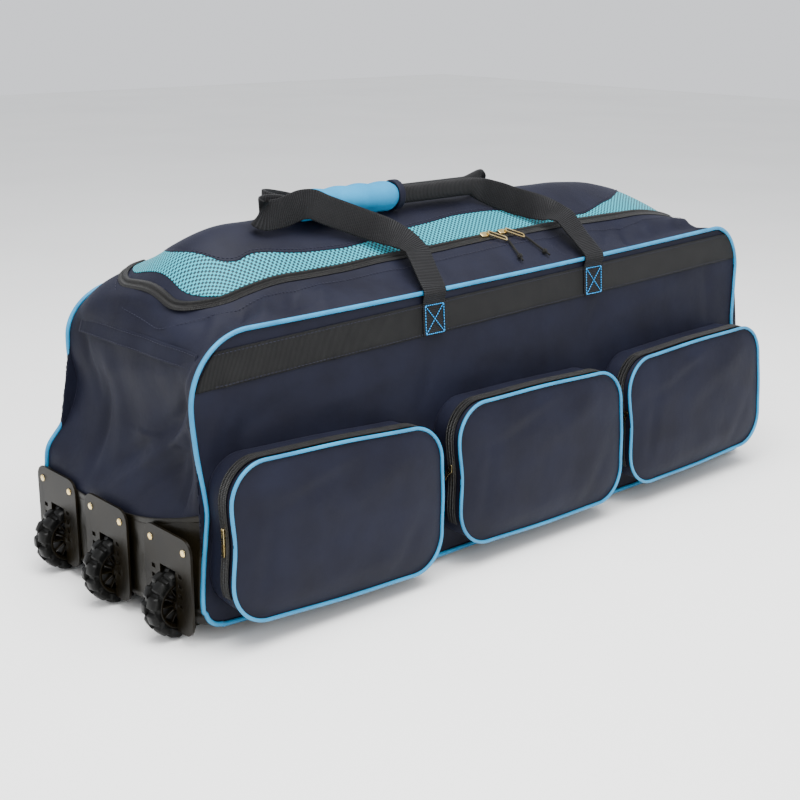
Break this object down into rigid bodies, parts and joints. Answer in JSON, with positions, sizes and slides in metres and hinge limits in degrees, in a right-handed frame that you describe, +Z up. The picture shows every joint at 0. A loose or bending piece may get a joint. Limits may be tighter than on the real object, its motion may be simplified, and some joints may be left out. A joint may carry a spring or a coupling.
{
  "type": "wheeled cricket kit bag",
  "caption": "Long soft holdall for cricket kit, with a domed zipped lid, front pockets, two carry handles joined by a padded wrap, and a moulded wheel end.",
  "frame": {"origin": "middle of the bag's outline in plan, on the floor", "axes": "+X from the wheel end to the far end, +Y from the pocket side to the back, +Z up"},
  "size_m": [1.0112, 0.3756, 0.4482],
  "materials": {
    "navy_cloth": "matt woven polyester, navy",
    "air_mesh": "open knitted air mesh, turquoise",
    "blue_piping": "satin piping, light blue",
    "black_zip": "black nylon coil zip",
    "black_webbing": "woven polypropylene webbing, black",
    "blue_padding": "padded cloth, light blue",
    "coated_base": "coated base cloth, black, slightly shiny",
    "moulded_black": "moulded plastic, black",
    "tyre_rubber": "black rubber",
    "axle_steel": "steel",
    "brass": "polished brass plating",
    "black_cord": "black braided cord"
  },
  "bodies": {
    "root": {"axle_1": "axle_steel", "axle_2": "axle_steel", "axle_3": "axle_steel", "base_panel": "coated_base", "body_shell": "navy_cloth", "end_handle": "blue_padding", "end_seam": "navy_cloth", "handle_wrap": "blue_padding", "lid_panel": "navy_cloth", "main_zip": "black_zip", "mesh_panel": "air_mesh", "piping_back": "blue_piping", "piping_front": "blue_piping", "pocket_1": "navy_cloth", "pocket_2": "navy_cloth", "pocket_3": "navy_cloth", "pocket_piping_1": "blue_piping", "pocket_piping_2": "blue_piping", "pocket_piping_3": "blue_piping", "pocket_slider_1": "brass", "pocket_slider_2": "brass", "pocket_slider_3": "brass", "pocket_zip_1": "black_zip", "pocket_zip_2": "black_zip", "pocket_zip_3": "black_zip", "pull_cord_left": "black_cord", "pull_cord_right": "black_cord", "pull_knot_left": "black_cord", "pull_knot_right": "black_cord", "rivet_1": "brass", "rivet_2": "brass", "rivet_3": "brass", "rivet_4": "brass", "rivet_5": "brass", "rivet_6": "brass", "strap_back": "black_webbing", "strap_front": "black_webbing", "webbing_band_back": "black_webbing", "webbing_band_front": "black_webbing", "wheel_housing_1": "moulded_black", "wheel_housing_2": "moulded_black", "wheel_housing_3": "moulded_black", "wrap_binding": "navy_cloth", "zip_pull_left": "brass", "zip_pull_right": "brass", "zip_slider_left": "brass", "zip_slider_right": "brass"},
    "wheel_1": {"hub_1": "moulded_black", "tyre_1": "tyre_rubber"},
    "wheel_2": {"hub_2": "moulded_black", "tyre_2": "tyre_rubber"},
    "wheel_3": {"hub_3": "moulded_black", "tyre_3": "tyre_rubber"}
  },
  "joints": [
    {"name": "wheel_spin_1", "type": "hinge", "parent": "root", "child": "wheel_1", "pos_m": [-0.4628, -0.095, 0.039], "axis": [0, 1, 0], "continuous": true},
    {"name": "wheel_spin_2", "type": "hinge", "parent": "root", "child": "wheel_2", "pos_m": [-0.4668, 0.0225, 0.039], "axis": [0, 1, 0], "continuous": true},
    {"name": "wheel_spin_3", "type": "hinge", "parent": "root", "child": "wheel_3", "pos_m": [-0.4628, 0.14, 0.039], "axis": [0, 1, 0], "continuous": true}
  ]
}
